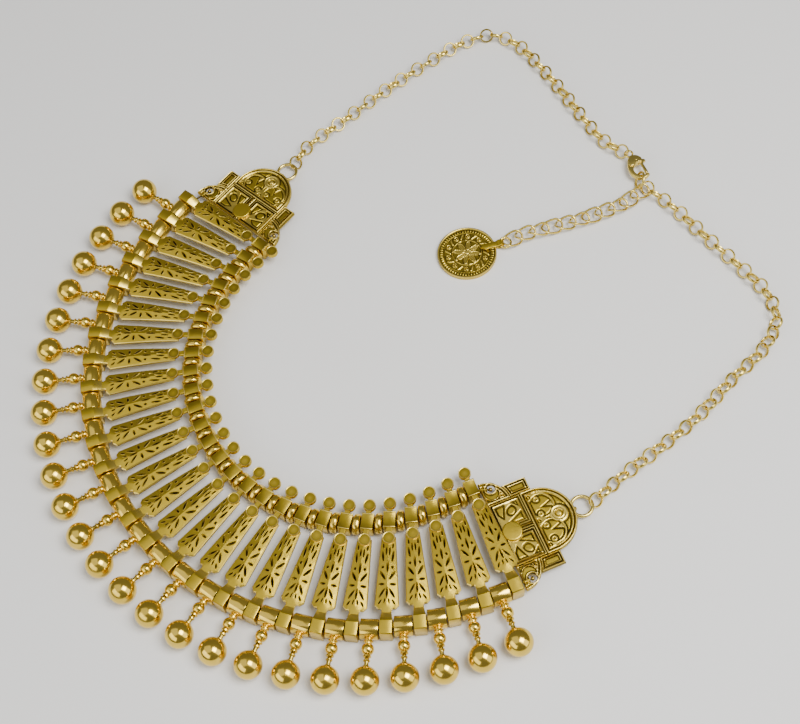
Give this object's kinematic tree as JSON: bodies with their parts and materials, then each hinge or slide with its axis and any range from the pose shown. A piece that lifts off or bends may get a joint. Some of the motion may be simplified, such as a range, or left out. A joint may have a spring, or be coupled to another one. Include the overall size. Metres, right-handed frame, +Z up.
{
  "type": "bib necklace",
  "caption": "Antique brass bib necklace: a fan of chip-carved bars with ball drops between two dome-topped end plaques, on link chains with a lever clasp and a coin on an extender.",
  "frame": {"origin": "middle of the footprint on the surface it lies on", "axes": "+Z up from the surface, +Y from the bib towards the clasp, +X to the viewer's right when the bib is nearest"},
  "size_m": [0.192, 0.2096, 0.0077],
  "materials": {
    "satin": "satin",
    "polished": "polished",
    "chain": "polished"
  },
  "bodies": {
    "necklace": {"bar_01": "satin", "bar_02": "satin", "bar_03": "satin", "bar_04": "satin", "bar_05": "satin", "bar_06": "satin", "bar_07": "satin", "bar_08": "satin", "bar_09": "satin", "bar_10": "satin", "bar_11": "satin", "bar_12": "satin", "bar_13": "satin", "bar_14": "satin", "bar_15": "satin", "bar_16": "satin", "bar_17": "satin", "bar_18": "satin", "bar_19": "satin", "bar_20": "satin", "bar_21": "satin", "bar_22": "satin", "bar_23": "satin", "bar_24": "satin", "bar_25": "satin", "bar_26": "satin", "bar_27": "satin", "end_plaque_left": "satin", "end_plaque_right": "satin", "coin": "satin", "outer_strand_left": "polished", "outer_strand_right": "polished", "inner_strand_left": "polished", "inner_strand_right": "polished", "plaque_ring_left": "chain", "plaque_ring_right": "chain", "neck_chain_left": "chain", "neck_chain_right": "chain", "clasp_body": "chain", "end_ring": "chain", "extender_chain": "chain", "coin_ring": "chain"},
    "lever": {"clasp_lever": "chain"}
  },
  "joints": [
    {"name": "clasp_lever_hinge", "type": "hinge", "parent": "necklace", "child": "lever", "pos_m": [0.00009, 0.09953, 0.00267], "axis": [0, 0, 1], "range_deg": [-12, 0], "stiffness_Nm_per_rad": 0.004, "springref_deg": 14.32}
  ]
}
